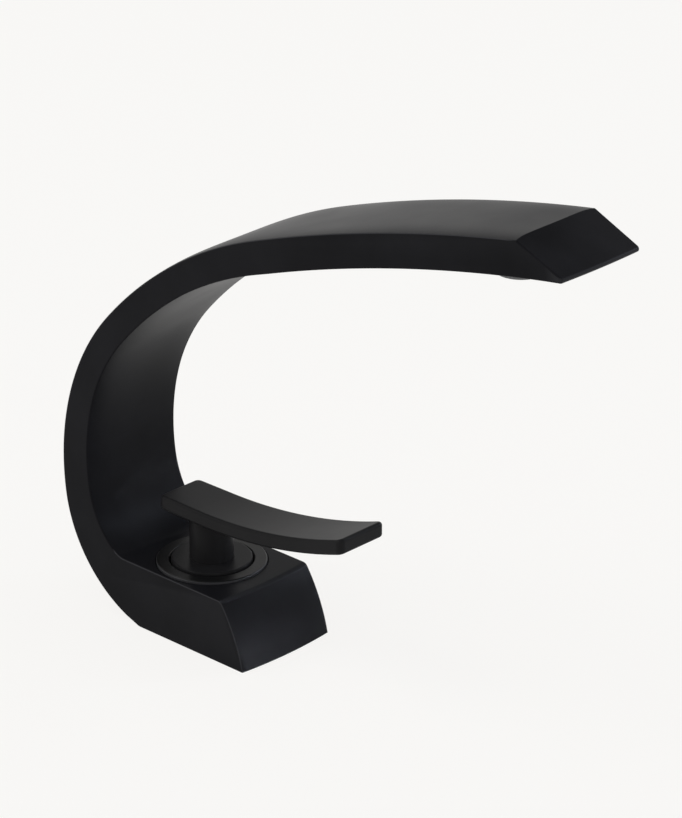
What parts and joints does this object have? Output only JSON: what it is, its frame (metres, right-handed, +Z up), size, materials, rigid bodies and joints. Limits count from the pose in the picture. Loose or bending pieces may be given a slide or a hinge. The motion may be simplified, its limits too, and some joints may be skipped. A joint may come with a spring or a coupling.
{
  "type": "basin mixer",
  "caption": "Matte black single-lever basin mixer with a flat crescent body, a curved lever on a round stem and an aerator under its slanted spout end.",
  "frame": {"origin": "on the deck, at the middle of the tap hole, in the plane of the base's underside", "axes": "+X forward along the spout, +Y across the width, +Z up"},
  "size_m": [0.2318, 0.0434, 0.1971],
  "materials": {
    "black_coating": "matte black coating on cast brass",
    "black_trim": "satin black",
    "black_handle": "matte black coating on brass",
    "rubber": "matte",
    "brass": "turned",
    "cartridge_plastic": "moulded",
    "ceramic": "lapped ceramic",
    "steel": "stainless",
    "grey_nozzle": "moulded grey plastic"
  },
  "bodies": {
    "root": {"body": "black_coating", "base_gasket": "rubber", "cover_ring": "black_trim", "cartridge_base": "cartridge_plastic", "inlet_seals": "rubber", "cartridge_o_ring": "rubber", "cartridge_housing": "cartridge_plastic", "cartridge_nut": "brass", "fixed_ceramic_disc": "ceramic", "aerator_housing": "grey_nozzle", "aerator_insert": "grey_nozzle", "aerator_screen": "steel", "aerator_washer": "rubber"},
    "turret": {"rotating_sleeve": "cartridge_plastic", "pivot_pin": "steel"},
    "handle": {"spindle": "brass", "handle_hub": "black_handle", "lever": "black_handle", "lever_screw": "steel", "grub_screw": "steel", "grub_screw_plug": "black_trim"},
    "valve_disc": {"moving_ceramic_disc": "ceramic", "disc_carrier": "cartridge_plastic"}
  },
  "joints": [
    {"name": "temperature_turn", "type": "hinge", "parent": "root", "child": "turret", "pos_m": [-0.01, 0, 0.0225], "axis": [0, 0, 1], "range_deg": [-45, 45]},
    {"name": "flow_lift", "type": "hinge", "parent": "turret", "child": "handle", "pos_m": [-0.01, 0, 0.0225], "axis": [0, -1, 0], "range_deg": [0, 18]},
    {"name": "disc_slide", "type": "slide", "parent": "turret", "child": "valve_disc", "axis": [1, 0, 0], "range_m": [0, 0.0031]}
  ],
  "couplings": [
    {"joint": "disc_slide", "follows": "flow_lift", "m_per_rad": 0.00965}
  ]
}
